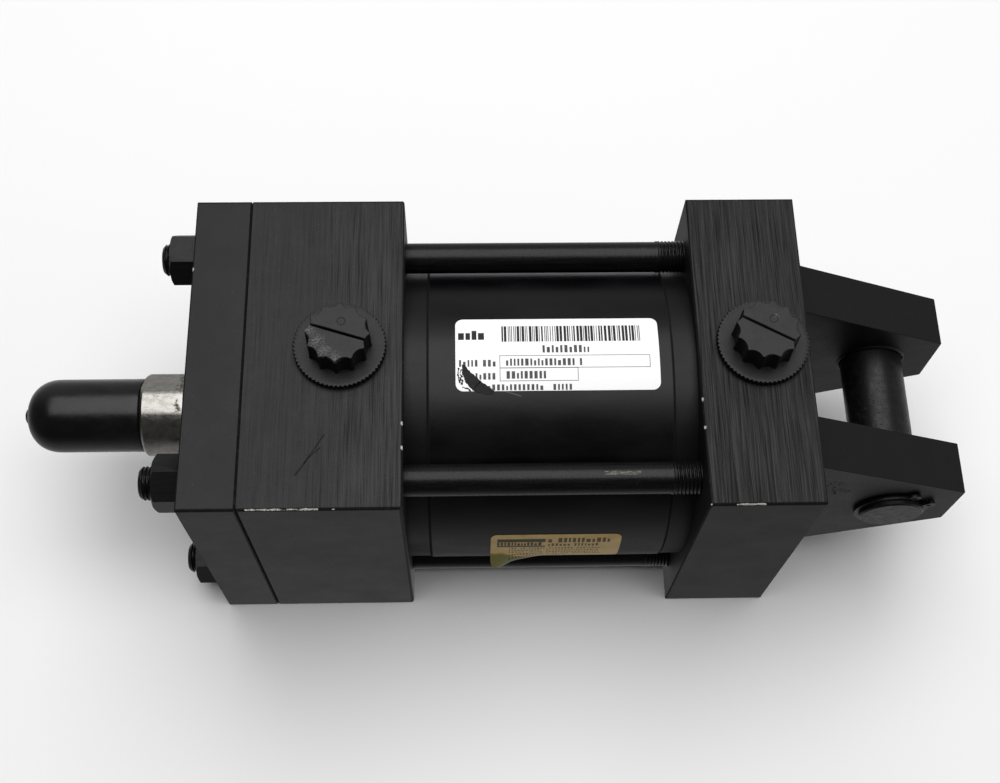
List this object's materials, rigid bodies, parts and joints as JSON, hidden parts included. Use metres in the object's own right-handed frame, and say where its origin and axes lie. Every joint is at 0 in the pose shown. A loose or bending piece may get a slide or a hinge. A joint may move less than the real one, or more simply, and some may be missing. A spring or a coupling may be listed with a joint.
{
  "type": "pneumatic cylinder",
  "caption": "Square-head tie-rod air cylinder with a fixed clevis and pin at the cap end, top ports under screw plugs and a capped male rod thread",
  "frame": {"origin": "centre of the clevis pin, on the cylinder's axis", "axes": "+X along the cylinder's axis from the rod end towards the clevis, +Z out of the ports, +Y along the clevis pin"},
  "size_m": [0.2834, 0.0952, 0.1053],
  "materials": {
    "block_paint": "satin black paint over milled steel",
    "barrel_paint": "semi-gloss black paint",
    "pin_steel": "dark, lightly pitted ground steel",
    "black_oxide": "satin black over cut threads",
    "gland_bronze": "turned bronze",
    "seal_rubber": "moulded black rubber",
    "piston_alloy": "turned aluminium",
    "band_plastic": "filled brown plastic",
    "rod_steel": "ground and plated, lightly worn",
    "nut_steel": "plain steel",
    "cap_vinyl": "dipped soft vinyl, satin",
    "plug_plastic": "moulded polyethylene, scuffed",
    "label_white": "printed polyester film",
    "label_gold": "printed gold foil film"
  },
  "bodies": {
    "cylinder_body": {"retainer_plate": "block_paint", "head": "block_paint", "barrel": "barrel_paint", "cap": "block_paint", "clevis_ear_front": "block_paint", "clevis_ear_back": "block_paint", "tie_rod_upper_back": "black_oxide", "tie_rod_upper_front": "black_oxide", "tie_rod_lower_front": "black_oxide", "tie_rod_lower_back": "black_oxide", "tie_nut_upper_back": "black_oxide", "tie_nut_upper_front": "black_oxide", "tie_nut_lower_front": "black_oxide", "tie_nut_lower_back": "black_oxide", "rod_gland": "gland_bronze", "rod_wiper": "seal_rubber", "rod_seal": "seal_rubber", "gland_oring": "seal_rubber", "tube_seal_head": "seal_rubber", "tube_seal_cap": "seal_rubber", "id_label": "label_white", "service_label": "label_gold"},
    "piston_seals": {"piston_seal_front": "seal_rubber", "piston_seal_rear": "seal_rubber", "piston_wear_band": "band_plastic"},
    "rod": {"piston_rod": "rod_steel", "piston": "piston_alloy", "piston_oring": "seal_rubber", "piston_nut": "nut_steel"},
    "thread_cap": {"rod_thread_cap": "cap_vinyl"},
    "head_plug": {"head_port_plug": "plug_plastic"},
    "cap_plug": {"cap_port_plug": "plug_plastic"},
    "pin": {"clevis_pin": "pin_steel", "pin_ring_front": "black_oxide", "pin_ring_back": "black_oxide"}
  },
  "joints": [
    {"name": "rod_slide", "type": "slide", "parent": "cylinder_body", "child": "piston_seals", "axis": [-1, 0, 0], "range_m": [0, 0.0508]},
    {"name": "rod_turn", "type": "hinge", "parent": "piston_seals", "child": "rod", "pos_m": [-0.227, 0, 0], "axis": [1, 0, 0], "continuous": true},
    {"name": "thread_cap_pull", "type": "slide", "parent": "rod", "child": "thread_cap", "axis": [-1, 0, 0], "range_m": [0, 0.04]},
    {"name": "head_plug_lift", "type": "slide", "parent": "cylinder_body", "child": "head_plug", "axis": [0, 0, 1], "range_m": [0, 0.025]},
    {"name": "cap_plug_lift", "type": "slide", "parent": "cylinder_body", "child": "cap_plug", "axis": [0, 0, 1], "range_m": [0, 0.025]},
    {"name": "pin_turn", "type": "hinge", "parent": "cylinder_body", "child": "pin", "pos_m": [0, 0, 0], "axis": [0, 1, 0], "continuous": true}
  ]
}
